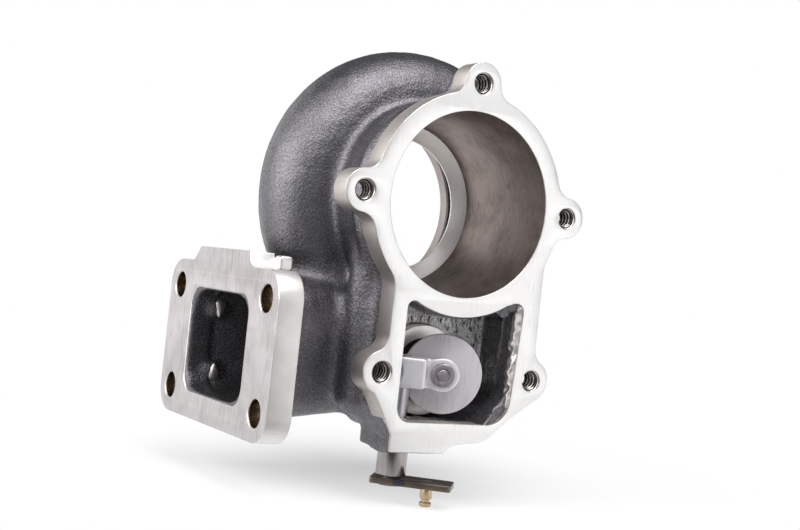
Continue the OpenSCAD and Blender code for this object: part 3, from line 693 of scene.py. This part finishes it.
def filledPlate(name, outlines, thickness, bevel, toPlace, finish, body="housing"):
    # a flat curve is filled between its outlines, given its thickness and rounded edges, and made a mesh
    curve = bpy.data.curves.new(name, "CURVE")
    curve.dimensions = "2D"
    curve.fill_mode = "BOTH"
    curve.extrude = (thickness / 2 - bevel) * mm
    curve.bevel_depth = bevel * mm
    curve.bevel_resolution = 2
    curve.offset = -bevel * mm
    for outline in outlines:
        keep = np.linalg.norm(outline - np.roll(outline, 1, 0), axis=1) > 0.02
        outline = outline[keep]
        spline = curve.splines.new("POLY")
        spline.points.add(len(outline) - 1)
        flat = np.column_stack([outline * mm, np.zeros(len(outline)), np.ones(len(outline))])
        spline.points.foreach_set("co", flat.ravel())
        spline.use_cyclic_u = True
    source = newObject(name + "_curve", curve)
    bpy.context.view_layer.update()
    mesh = bpy.data.meshes.new_from_object(source.evaluated_get(bpy.context.evaluated_depsgraph_get()))
    bpy.data.objects.remove(source)
    mesh.transform(toPlace)
    item = newObject(name, mesh)
    mergePoints(item)
    changeMesh(mesh, lambda shape: bmesh.ops.recalc_face_normals(shape, faces=shape.faces))
    sharpByAngle(item, 30)
    return dressPiece(item, finish, body)


def makeOutletFlange(f):
    # the opening has its two lower corners rounded, and its top follows the ring as an arch
    m = chamberMouth
    arch = onCircle((0, 0), m["archR"], np.radians(np.linspace(*m["archDegrees"], 40)))
    opening = np.concatenate([roundCorners(m["corners"], 10)[10:30], m["rightEnd"], arch, m["leftEnd"]])
    holes = [circlePoints((0, 0), f["boreR"], 192), opening]
    holes += [circlePoints(place, f["sinkR"], 64) for place in lugPlaces(f)]
    # the outline's u is X, its v is Z, and the plate's thickness runs along Y
    toPlace = Matrix(((1, 0, 0, 0), (0, 0, 1, f["thickness"] / 2 * mm), (0, 1, 0, 0), (0, 0, 0, 1)))
    item = filledPlate("outlet_plate", [outletOutline(f)] + holes, f["thickness"], f["bevel"], toPlace,
                       "milled")
    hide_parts("outlet_flange")
    for number, place in enumerate(lugPlaces(f)):
        threadSleeve(f"outlet_thread_{number}", place, tappedHole)


tappedHole = {
    "front": 0.25, "back": 10.0, "rimR": 4.95, "sinkR": 4.8, "root": 4.1, "depth": 0.9,
    "turns": 72, "rows": 84, "rimTo": 0.3, "sinkTo": 0.8, "rowsFrom": 0.85, "rowsEnd": 0.3, "lip": 0.2,
    "ridgeTop": 1.05, "ridgeFlank": 2.3,
    "pitch": 2.0,               # coarser than the 1.25 mm of M8, so that the thread shows in a picture
    # painted highlight: ridges above the crest height get the bright finish
    "crest": 0.62,              # above this height the ridge is bright
}


def threadSleeve(name, place, h):
    # radius = root - depth * ridge, where the ridge rises and falls once a pitch and climbs as it turns
    front, back, turns = h["front"], h["back"], h["turns"]
    rows = np.linspace(front + h["rowsFrom"], back - h["rowsEnd"], h["rows"])
    a = np.arange(turns) * 2 * np.pi / turns
    phase = (rows[None, :] / h["pitch"] + a[:, None] / (2 * np.pi)) % 1
    ridge = np.clip(h["ridgeTop"] - np.abs(phase - 0.5) * h["ridgeFlank"], 0, 1)
    rim, sink, root = (np.full((turns, 1), h[key]) for key in ("rimR", "sinkR", "root"))
    radius = np.concatenate([rim, sink, root, h["root"] - h["depth"] * ridge, root, rim], 1)
    along = np.concatenate([[front + h["rimTo"], front, front + h["sinkTo"]], rows, [back - h["lip"]] * 2])
    x = place[0] + radius * np.cos(a)[:, None]
    z = place[1] + radius * np.sin(a)[:, None]
    points = np.stack([x, np.broadcast_to(along, x.shape), z], -1)
    item = meshObject(name, points, gridFaces(turns, points.shape[1]), "threadCut", "machined_iron")
    # the countersink is bright; the thread's crests get the bright finish as a painted highlight, and its
    # grooves keep the dark one as painted shade
    item.data.materials.append(finishes["turned"])
    sinkAndCrestHighlight = np.zeros(points.shape[:2], bool)
    sinkAndCrestHighlight[:, :2] = True
    sinkAndCrestHighlight[:, 3:3 + len(rows)] = ridge > h["crest"]
    item.data.polygons.foreach_set("material_index", sinkAndCrestHighlight.ravel().astype(np.int32))
    sharpByAngle(item, 40)


inletFlange = {
    "x": 76.0, "thickness": 10.5, "bevel": 0.5, "y": 58.4, "z": -65.5, "width": 107.0, "height": 65.0,
    "corner": 11.0, "tabHeight": 6.0, "tabWidth": 49.0, "studW": 85.2, "studH": 42.9, "studR": 5.5,
    "portW": 57.0, "portH": 43.3, "portCorner": 7.5,
    "studWall": [(5.32, 0.5, 0.1), (5.6, 0.5, 0.05), (5.6, 10, 0.05), (5.32, 10, 0.1)],
}


def makeInletFlange(f):
    w, h, t, up = f["width"] / 2, f["height"] / 2, f["tabWidth"] / 2, f["tabHeight"]
    outline = roundCorners([(-w, -h, f["corner"]), (w, -h, f["corner"]), (w, h, f["corner"]),
                            (t + up, h, 0.8 * up), (t, h + up, 0.6), (-t, h + up, 0.6),
                            (-t - up / 3, h, 0.8 * up), (-w, h, f["corner"])], 10)
    pw, ph = f["portW"] / 2, f["portH"] / 2
    port = roundCorners([(sy * pw, sz * ph, f["portCorner"])
                         for sy, sz in ((-1, -1), (1, -1), (1, 1), (-1, 1))], 10)
    studs = [(sy * f["studW"] / 2, sz * f["studH"] / 2) for sy in (-1, 1) for sz in (-1, 1)]
    holes = [circlePoints(stud, f["studR"], 72) for stud in studs]
    # the outline's u is Y, its v is Z, and the plate's thickness runs along X
    middle = (-f["x"] + f["thickness"] / 2) * mm
    toPlace = Matrix(((0, 0, 1, middle), (1, 0, 0, f["y"] * mm), (0, 1, 0, f["z"] * mm), (0, 0, 0, 1)))
    item = filledPlate("inlet_plate", [outline, port] + holes, f["thickness"], f["bevel"], toPlace,
                       "groundPlate")
    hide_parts("inlet_flange")
    for number, (y, z) in enumerate(studs):
        middle = (-f["x"], f["y"] + y, f["z"] + z)
        spunPiece(f"stud_hole_{number}", f["studWall"], 72, (middle, xAxis, yAxis), "holeWall", "ground_iron")


tabHeel = {"middle": (-62.6, 31.5, -30.6), "half": (3.2, 2.6, 3.0), "round": 1.6}


def heelField(x, y, z):
    # distance from a box with soft edges
    (mx, my, mz), (hx, hy, hz), k = tabHeel["middle"], tabHeel["half"], tabHeel["round"]
    return softMax(softMax(np.abs(x - mx) - hx, np.abs(y - my) - hy, k), np.abs(z - mz) - hz, k)


# painted highlights: two small bright pieces that stand for the gleams on the inlet port's far wall
portHighlightNubs = {"x": -63.8, "y": 84.9, "z": (-52.2, -79.3), "radii": (2.3, 1.5, 4.2)}


def highlightNubField(x, y, z):
    # two bright ellipsoids, pointed towards the port's middle: painted highlights on the port's far wall
    total = 9.0
    for middleZ, side in zip(portHighlightNubs["z"], (1, -1)):
        rx, ry, rz = portHighlightNubs["radii"]
        up = side * (z - middleZ)
        slim = np.clip(1 + 0.12 * up, 0.45, 1.3)
        across, deep = (x - portHighlightNubs["x"]) / rx / slim, (y - portHighlightNubs["y"]) / ry
        total = np.minimum(total, np.sqrt(across ** 2 + deep ** 2 + (up / rz) ** 2) - 1)
    return total


makeOutletFlange(outletFlange)
makeInletFlange(inletFlange)
fieldPiece("port_highlight_nubs", highlightNubField, (-68, 82, -86), (-60, 88, -45), 0.4, "brokenEdge", "cast_iron")
fieldPiece("tab_heel", heelField, (-68, 27, -35), (-57, 36, -26), 0.4, "turned", "ground_iron")
print("flanges are made")

# turned pieces
duct = spunPiece("duct_bore", [
    (36.45, 0.4, 0.05), (38.5, 0.4, 0.05), (38.5, 10, 0.05), (40.0, 10, 0.05), (40.0, 59.4, 0.2),
    (33.9, 59.4, 0.2), (28.9, 57.9, 0.2), (27.95, 57.3, 0.1), (27.95, 56.72, 0.1), (34.2, 53.62, 0.15)],
    240, alongBore, "bored", "bored_iron")
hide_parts("discharge_duct")

# the bright turned cone at the duct's inner end is a thin skin of its own
spunPiece("exducer_step", [
    (34.0, 53.55, 0.05), (27.9, 56.6, 0.12), (27.9, 57.3, 0.12), (28.4, 57.4, 0.05), (28.4, 56.8, 0.05),
    (34.1, 53.9, 0.05)],
    240, alongBore, "coneIron", "bored_iron")

# the relief before the bearing register keeps its cast skin
spunPiece("register_relief", [
    (37.35, 73.5, 0.1), (38.5, 73.5, 0.1), (38.5, 74.36, 0.05), (37.35, 74.36, 0.05)],
    192, alongBore, "castSkin", "cast_iron")

lever = {
    "shaft": (-15.1, 14.0), "shaftR": 3.96, "bottom": -112.3, "top": -61.55,
    "bushR": 6.0, "bushFrom": -108.7, "bushTo": -85.5,
    "openDegrees": 30, "reach": 16.4, "drop": -67.7, "discFrom": 6.3, "discTo": 10.3, "discR": 16.0,
    "eyeFrom": 1.05, "eyeTo": 6.05, "eyeR": 6.8, "armHalf": 6.15, "hubR": 5.6, "blockTo": 9.6,
    "washerR": 4.8, "washerT": 3.4,
    "leverFrom": -111.7, "leverTo": -109.2, "leverDegrees": -40, "leverLength": 32, "leverWidth": 14,
    "leverHeel": 7.2, "pinReach": 14.8, "pinR": 2.4,
    # the print of the electrode on the block: its middle and its half sizes along u, n and z
    "mark": (-1.0, -5.6), "markSize": (1.3, 0.8, 3.4),
    # how far the arm stays inside the solid and goes into the shaft, and the hole in its eye
    "skin": 0.03, "hubOverlap": 0.3, "eyeHoleR": 2.58,
}
shaftX, shaftY = lever["shaft"]
alongShaft = ((shaftX, shaftY, 0), zAxis, xAxis)
seat = spunPiece("valve_seat_ring", [
    (13.0, 24.45, 0.3), (18.5, 24.45, 0.5), (18.5, 32.4, 0.1), (13.0, 32.4, 0.1)],
    120, ((1.3, 0, -67.7), yAxis, xAxis), "seatIron", "machined_iron")
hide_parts("valve_seat")

low, high, r = lever["bushFrom"], lever["bushTo"], lever["bushR"]
bush = spunPiece("bush_sleeve", [
    (4.04, low, 0.1), (r, low, 0.4), (r, high, 0.4), (4.04, high, 0.1)],
    96, alongShaft, "polished", "polished_steel")
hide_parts("shaft_bush")

low, high, r = lever["bottom"], lever["top"], lever["shaftR"]
shaft = spunPiece("shaft_rod", [
    (0, low, 0), (r, low, 0.3), (r, high, 0.3), (0, high, 0)],
    96, alongShaft, "shaftSteel", "shaft_steel", "wastegate_lever", 4)
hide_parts("wastegate_shaft")

openAngle = math.radians(lever["openDegrees"])
armAlong = np.array([math.cos(openAngle), -math.sin(openAngle), 0])
stemOut = np.array([math.sin(openAngle), math.cos(openAngle), 0])
armHub = np.array([shaftX, shaftY, lever["drop"]])
stemFoot = armHub + armAlong * lever["reach"]
alongStem = (stemFoot, stemOut, zAxis)
washerFrom = lever["eyeFrom"] - 0.25
washerTo = washerFrom - lever["washerT"]

low, high, r = lever["discFrom"], lever["discTo"], lever["discR"]
disc = spunPiece("valve_plate", [
    (0, high, 0), (r, high, 0.6), (r, low, 0.35), (2.5, low, 0.1), (2.5, washerTo + 0.1, 0.6),
    (0, washerTo, 0)],
    160, alongStem, "valveSteel", "valve_steel", "valve")
# the riveted end of the stem has the washer's colour
disc.data.materials.append(finishes["washerSteel"])
middles = np.zeros(len(disc.data.polygons) * 3)
disc.data.polygons.foreach_get("center", middles)
along = (middles.reshape(-1, 3) / mm - stemFoot) @ stemOut
disc.data.polygons.foreach_set("material_index", (along < washerTo + 1.0).astype(np.int32))
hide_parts("valve_disc")

washer = spunPiece("stem_collar", [
    (2.6, washerFrom, 0.05), (lever["washerR"], washerFrom, 0.15), (lever["washerR"], washerTo + 0.1, 0.6),
    (2.6, washerTo + 0.1, 0.1)],
    96, alongStem, "washerSteel", "valve_steel", "valve")
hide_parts("stem_washer")
print("turned pieces are made")


def armField(u, n, z):
    # hub, block, tongue and eye joined with small fillets, less the holes for the shaft and the stem
    f = lever
    height = np.abs(z) - f["armHalf"] + f["skin"]
    hub = softMax(np.hypot(u, n) - f["hubR"], height, 1.2)
    block = softMax(softMax(softMax(u - f["blockTo"], -u, 1.2), np.abs(n) - f["hubR"], 1.6), height, 1.4)
    middle, half = (f["eyeFrom"] + f["eyeTo"]) / 2, (f["eyeTo"] - f["eyeFrom"]) / 2
    thick = np.abs(n - middle) - half + f["skin"]
    tongue = softMax(softMax(softMax(u - f["reach"], -u, 0.2), thick, 1.2), height, 1.4)
    eye = softMax(np.hypot(u - f["reach"], z) - f["eyeR"], thick, 1.2)
    field = softMin(softMin(hub, block, 0.4), softMin(tongue, eye, 1.0), 1.2)
    (markU, markN), (mu, mn, mz) = f["mark"], f["markSize"]
    mark = np.sqrt(((n - markN) / mn) ** 2 + ((u - markU) / mu) ** 2 + (z / mz) ** 2) - 1
    field = softMax(field, -mark, 0.3)
    field = np.maximum(field, f["shaftR"] - f["hubOverlap"] - np.hypot(u, n))
    return np.maximum(field, f["eyeHoleR"] - np.hypot(u - f["reach"], z))


points, faces = surfaceOf(armField, (-7, -7, -8), (25, 8, 8), 0.33)
points = armHub + points @ np.array([armAlong, stemOut, zAxis])
arm = meshObject("arm_casting", points, faces, "armSteel", "cast_steel", "wastegate_lever")
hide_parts("swing_arm")


def makeLever(f):
    heel, ahead, w = -f["leverHeel"], f["leverLength"] - f["leverHeel"], f["leverWidth"] / 2
    outline = roundCorners([(heel, -w, 1.0), (ahead, -w, 1.5), (ahead, w, 1.5), (heel, w, 1.0)], 8)
    holes = [circlePoints((0, 0), f["shaftR"] + 0.02, 72), circlePoints((f["pinReach"], 0), 2.0, 48)]
    angle = math.radians(f["leverDegrees"])
    turn = Matrix.Rotation(angle, 4, "Z")
    lift = Matrix.Translation([shaftX * mm, shaftY * mm, (f["leverFrom"] + f["leverTo"]) / 2 * mm])
    item = filledPlate("lever_plate", [outline] + holes, f["leverTo"] - f["leverFrom"], 0.3, lift @ turn,
                       "tinted", "wastegate_lever")
    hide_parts("crank_lever")
    bottom = f["leverFrom"]
    bead = spunPiece("weld_ring", [
        (4.0, bottom, 0.02), (6.0, bottom, 0.05), (5.5, bottom - 0.6, 0.25), (4.0, bottom - 0.6, 0.1)],
        72, alongShaft, "bead", "weld_metal", "wastegate_lever")
    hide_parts("lever_weld")
    pinX, pinY = shaftX + f["pinReach"] * math.cos(angle), shaftY + f["pinReach"] * math.sin(angle)
    r = f["pinR"]
    pin = spunPiece("rod_stud", [
        (0, bottom + 2.5, 0), (2.0, bottom + 2.5, 0.2), (2.0, bottom, 0.02), (r, bottom, 0.1),
        (r, bottom - 4.25, 0.15), (0.68 * r, bottom - 4.6, 0.1), (0.68 * r, bottom - 5.6, 0.1),
        (r, bottom - 5.93, 0.15), (r, bottom - 7.1, 0.2), (0.7 * r, bottom - 7.6, 0.2),
        (0, bottom - 7.6, 0)],
        72, ((pinX, pinY, 0), zAxis, xAxis), "plated", "plated_pin", "wastegate_lever")
    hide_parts("rod_pin")


makeLever(lever)


def bevelledCopy(node, name, width, finish):
    # the solid's own shape with its loose triangles merged and its edges rounded
    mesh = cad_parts[node].data.copy()
    changeMesh(mesh, mergeDoubles, lambda shape: bmesh.ops.dissolve_limit(
        shape, angle_limit=math.radians(1), verts=shape.verts, edges=shape.edges))
    item = newObject(name, mesh)
    edge = item.modifiers.new("edge", "BEVEL")
    edge.width = width * mm
    edge.segments = 2
    edge.limit_method = "ANGLE"
    edge.angle_limit = math.radians(35)
    dressPiece(item, finish, "housing")
    sharpByAngle(item, 35)
    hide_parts(node)


bevelledCopy("bearing_flange", "bearing_plate", 0.35, "registerIron")
print("lever and bearing plate are made")


# stage and light
def makeStage():
    material, tree = newMaterial("pale studio floor")
    path = addNode(tree, "LightPath")
    seen = addNode(tree, "Math", {0: path.outputs["Is Camera Ray"], 1: path.outputs["Is Glossy Ray"]},
                   operation="MAXIMUM")
    place = addNode(tree, "TexCoord").outputs["Object"]
    away = addNode(tree, "VectorMath", {0: place}, in1=(0.035, 0.13, -0.119), operation="DISTANCE")
    fade = addNode(tree, "MapRange", {"Value": away.outputs["Value"]}, From_Min=0.02, From_Max=0.2,
                   To_Min=0.3, To_Max=1.0)
    # in reflections the floor is dark at the left front, where the photographer stands
    parts = addNode(tree, "SeparateXYZ", {0: place})
    right, back = (addNode(tree, "MapRange", {"Value": parts.outputs[axis]}, From_Min=-0.06, From_Max=end,
                           To_Min=0.1, To_Max=1.0) for axis, end in ((0, 0.04), (1, 0.02)))
    lit = addNode(tree, "Math", {0: right, 1: back}, operation="MAXIMUM")
    level = addNode(tree, "Math", {0: path.outputs["Is Camera Ray"], 1: lit}, operation="MAXIMUM")
    share = addNode(tree, "Math", {0: seen, 1: fade}, operation="MULTIPLY")
    matt = addNode(tree, "BsdfDiffuse", Color=toLinear("#f4f4f6"))
    glow = addNode(tree, "Emission", {"Strength": level}, Color=(1, 1, 1, 1))
    finishMaterial(material, addNode(tree, "MixShader", {0: share, 1: matt, 2: glow}))
    size, ground = 3.0, -0.1195
    mesh = bpy.data.meshes.new("studio_floor")
    corners = [(-size, -size, ground), (size, -size, ground), (size, size, ground), (-size, size, ground)]
    mesh.from_pydata(corners, [], [(0, 1, 2, 3)])
    floor = newObject("studio_floor", mesh)
    mesh.materials.append(material)


def makeWorld():
    world = bpy.data.worlds.new("studio")
    bpy.context.scene.world = world
    world.use_nodes = True
    tree = world.node_tree
    tree.nodes.clear()
    path = addNode(tree, "LightPath")
    seen = addNode(tree, "Math", {0: path.outputs["Is Camera Ray"], 1: path.outputs["Is Transmission Ray"]},
                   operation="MAXIMUM")
    plain = addNode(tree, "Background", Color=toLinear("#e6e6ea"), Strength=0.16)
    white = addNode(tree, "Background", Color=(1, 1, 1, 1), Strength=1.0)
    mix = addNode(tree, "MixShader", {0: seen, 1: plain, 2: white})
    addNode(tree, "OutputWorld", {"Surface": mix})


lamps = {
    # each a soft box: place and size in metres, and the radiance seen in it
    "softbox_face": ((0.68, -1.0, 0.14), (0.85, 1.0), 1.02),
    "softbox_inlet": ((-0.58, 1.15, 0.22), (1.6, 1.3), 0.9),
    "softbox_top": ((0.0, -0.35, 1.0), (1.1, 0.75), 4.2),
    "softbox_left": ((-1.15, 0.05, 0.35), (1.3, 1.3), 3.6),
    "softbox_key": ((-0.2, -0.78, 0.9), (0.6, 0.4), 4.5),
    "softbox_back": ((-0.62, -1.0, 0.1), (0.5, 0.7), 0.85),
}
lampsAim = (0, 0.04, -0.03)


def makeLamps():
    for name, (place, size, radiance) in lamps.items():
        data = bpy.data.lights.new(name, "AREA")
        data.shape = "RECTANGLE"
        data.size, data.size_y = size
        data.energy = math.pi * size[0] * size[1] * radiance
        lamp = newObject(name, data)
        lamp.location = place
        lamp.rotation_euler = (Vector(lampsAim) - Vector(place)).to_track_quat("-Z", "Y").to_euler()


makeStage()
makeWorld()
makeLamps()
print("stage and lamps are set")
